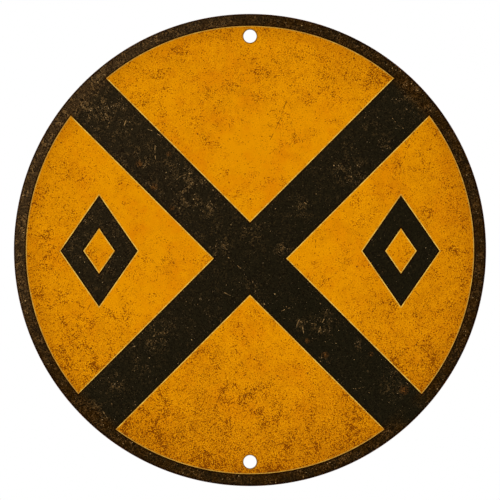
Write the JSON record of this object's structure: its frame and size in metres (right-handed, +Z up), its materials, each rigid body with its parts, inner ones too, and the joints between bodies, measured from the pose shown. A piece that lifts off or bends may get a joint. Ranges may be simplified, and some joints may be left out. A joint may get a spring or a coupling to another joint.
{
  "type": "round hanging warning sign",
  "caption": "Flat round sheet-steel wall sign with an amber face, a black border, a black diagonal cross, side lozenges and screw holes on its upright middle line.",
  "frame": {"origin": "middle of the back face, in the plane that lies against the wall", "axes": "+Z up as the sign hangs; the painted face looks along -Y; +Y points into the wall; +X to the right of someone who faces the sign"},
  "size_m": [0.3048, 0.0011, 0.3048],
  "materials": {
    "sheet_steel": "satin",
    "back_paint": "matte",
    "amber_enamel": "satin",
    "black_enamel": "satin"
  },
  "bodies": {
    "root": {"steel_disc": "sheet_steel", "back_coat": "back_paint", "amber_face_coat": "amber_enamel", "black_border": "black_enamel", "black_cross": "black_enamel", "left_lozenge": "black_enamel", "right_lozenge": "black_enamel"}
  },
  "joints": []
}
